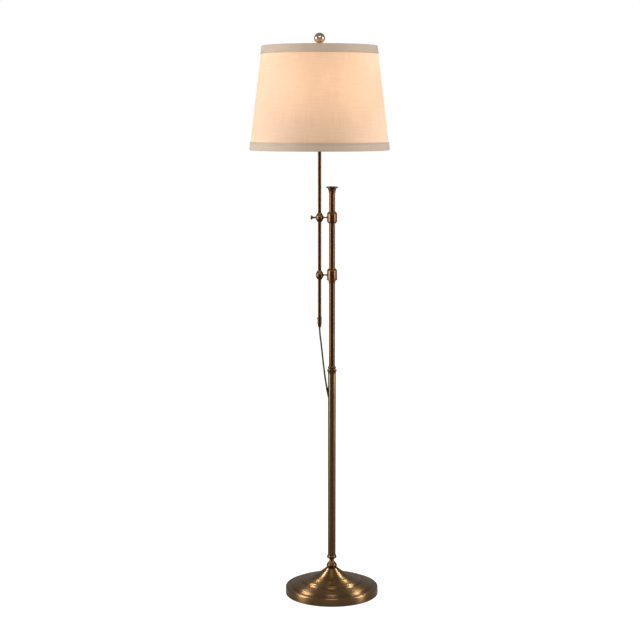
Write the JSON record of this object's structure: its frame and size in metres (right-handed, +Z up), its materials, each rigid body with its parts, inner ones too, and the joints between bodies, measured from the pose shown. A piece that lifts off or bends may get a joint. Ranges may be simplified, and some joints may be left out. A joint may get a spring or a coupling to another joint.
{
  "type": "floor lamp",
  "caption": "Pharmacy-style floor lamp: weighted round base, jointed pole, side rod sliding in clamps, and a lit tapered drum shade.",
  "frame": {"origin": "middle of the base pad's underside, on the pole's axis", "axes": "+Z up along the pole; the sliding rod stands beside the pole towards -X; the harp's sleeves are to the front (-Y) and back (+Y)"},
  "size_m": [0.4064, 0.4064, 1.6567],
  "materials": {
    "antique_brass": "dark antique brass, satin lacquer, worn paler on edges",
    "spun_brass": "spun antique brass with fine turning lines",
    "bright_brass": "plain brass, satin",
    "polished_ball": "mirror-polished antique brass",
    "zinc_steel": "zinc-plated",
    "cast_iron": "rough casting, black paint",
    "felt": "pressed felt",
    "black_rubber": "matte",
    "lead_sheath": "smooth round sheath, semi-matte",
    "phenolic": "moulded phenolic, glossy",
    "fibreboard": "plain insulating paper",
    "frosted_glass": "frosted inside, lit",
    "linen": "slubbed linen weave, lit from inside",
    "liner_sheet": "translucent styrene sheet",
    "trim_cloth": "folded linen trim"
  },
  "bodies": {
    "root": {"base_cover": "spun_brass", "base_weight": "cast_iron", "base_pad": "felt", "base_nut": "zinc_steel", "base_washer": "zinc_steel", "base_nipple": "zinc_steel", "cord_bushing": "black_rubber", "neck_bell": "antique_brass", "neck_bead": "antique_brass", "foot_bush": "bright_brass", "lower_tube": "antique_brass", "joint_ring_lower": "antique_brass", "joint_ring_upper": "antique_brass", "pole_coupling": "bright_brass", "upper_tube": "antique_brass", "lower_collar": "antique_brass", "lower_stop_ring": "antique_brass", "upper_collar": "antique_brass", "collar_screw_lower": "zinc_steel", "collar_screw_upper": "zinc_steel", "pole_cap": "antique_brass", "inlet_grommet": "black_rubber", "upper_bar": "antique_brass", "lower_bar": "antique_brass", "upper_clamp": "antique_brass", "lower_clamp": "antique_brass", "lower_bush": "bright_brass", "clamp_pad": "bright_brass", "lead": "lead_sheath", "pole_lead": "lead_sheath"},
    "screw": {"thumb_screw": "antique_brass"},
    "rod": {"rod": "antique_brass", "rod_ferrule": "antique_brass", "ferrule_screw": "bright_brass", "rod_lead": "lead_sheath"},
    "head": {"rod_locknut": "antique_brass", "harp_saddle": "antique_brass", "socket_cap": "bright_brass", "socket_shell": "bright_brass", "socket_liner": "fibreboard", "socket_body": "phenolic", "screw_shell": "bright_brass", "centre_contact": "bright_brass", "harp_bow": "antique_brass", "harp_stud": "antique_brass", "bulb_glass": "frosted_glass", "bulb_cap": "zinc_steel", "bulb_insulator": "phenolic", "shade_cloth": "linen", "shade_liner": "liner_sheet", "top_trim": "trim_cloth", "bottom_trim": "trim_cloth", "top_ring": "zinc_steel", "bottom_ring": "zinc_steel", "spider": "antique_brass"},
    "switch": {"switch_stem": "phenolic", "switch_knob": "phenolic"},
    "sleeve_front": {"harp_sleeve_front": "antique_brass"},
    "sleeve_back": {"harp_sleeve_back": "antique_brass"},
    "finial_cap": {"finial": "polished_ball"}
  },
  "joints": [
    {"name": "rod_slide", "type": "slide", "parent": "root", "child": "rod", "axis": [0, 0, 1], "range_m": [-0.1, 0.1], "deforming": ["lead"]},
    {"name": "head_turn", "type": "hinge", "parent": "rod", "child": "head", "pos_m": [-0.0364, 0, 1.372], "axis": [0, 0, 1], "range_deg": [-170, 170]},
    {"name": "thumb_screw_turn", "type": "hinge", "parent": "root", "child": "screw", "pos_m": [-0.0524, 0, 1.128], "axis": [-1, 0, 0], "range_deg": [0, 180]},
    {"name": "switch_turn", "type": "hinge", "parent": "head", "child": "switch", "pos_m": [-0.0624, 0, 1.4054], "axis": [-1, 0, 0], "continuous": true},
    {"name": "sleeve_front_slide", "type": "slide", "parent": "head", "child": "sleeve_front", "axis": [0, 0, 1], "range_m": [0, 0.008]},
    {"name": "sleeve_back_slide", "type": "slide", "parent": "head", "child": "sleeve_back", "axis": [0, 0, 1], "range_m": [0, 0.008]},
    {"name": "finial_turn", "type": "hinge", "parent": "head", "child": "finial_cap", "pos_m": [-0.0364, 0, 1.612], "axis": [0, 0, 1], "range_deg": [0, 360]}
  ]
}
